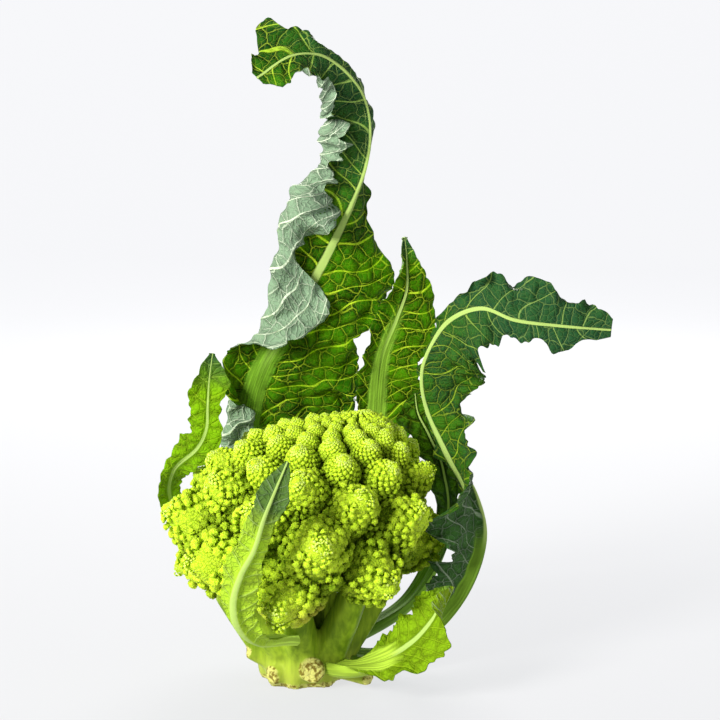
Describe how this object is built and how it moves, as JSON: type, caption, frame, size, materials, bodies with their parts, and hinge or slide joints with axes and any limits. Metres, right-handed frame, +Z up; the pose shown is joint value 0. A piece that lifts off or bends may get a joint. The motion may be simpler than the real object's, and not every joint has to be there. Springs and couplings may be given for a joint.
{
  "type": "romanesco head",
  "caption": "Head of romanesco standing on its cut stem, with a spiral curd of cone-shaped florets and curling leaves",
  "frame": {"origin": "on the flat cut of the stem, which the head stands on", "axes": "+Z up along the stem, -Y towards the side that the picture shows, +X to that view's right"},
  "size_m": [0.253, 0.1916, 0.3677],
  "materials": {
    "curd": "matt, finely granular, yellow-green",
    "stem": "smooth and waxy, pale green, brown where cut",
    "leaf_tall_curled": "waxy, mid to dark green with pale veins",
    "leaf_back_upright": "waxy, mid green with pale veins",
    "leaf_right_arching": "waxy, dark green with pale veins",
    "leaf_left_upright": "waxy, light green with pale veins",
    "leaf_front_folded": "waxy, pale green underside",
    "leaf_front_small": "waxy, yellow-green",
    "leaf_back_dark": "waxy, dark green"
  },
  "bodies": {
    "root": {"curd": "curd", "stem": "stem", "leaf_tall_curled": "leaf_tall_curled", "leaf_back_upright": "leaf_back_upright", "leaf_right_arching": "leaf_right_arching", "leaf_left_upright": "leaf_left_upright", "leaf_front_folded": "leaf_front_folded", "leaf_front_small": "leaf_front_small", "leaf_back_dark": "leaf_back_dark"}
  },
  "joints": []
}
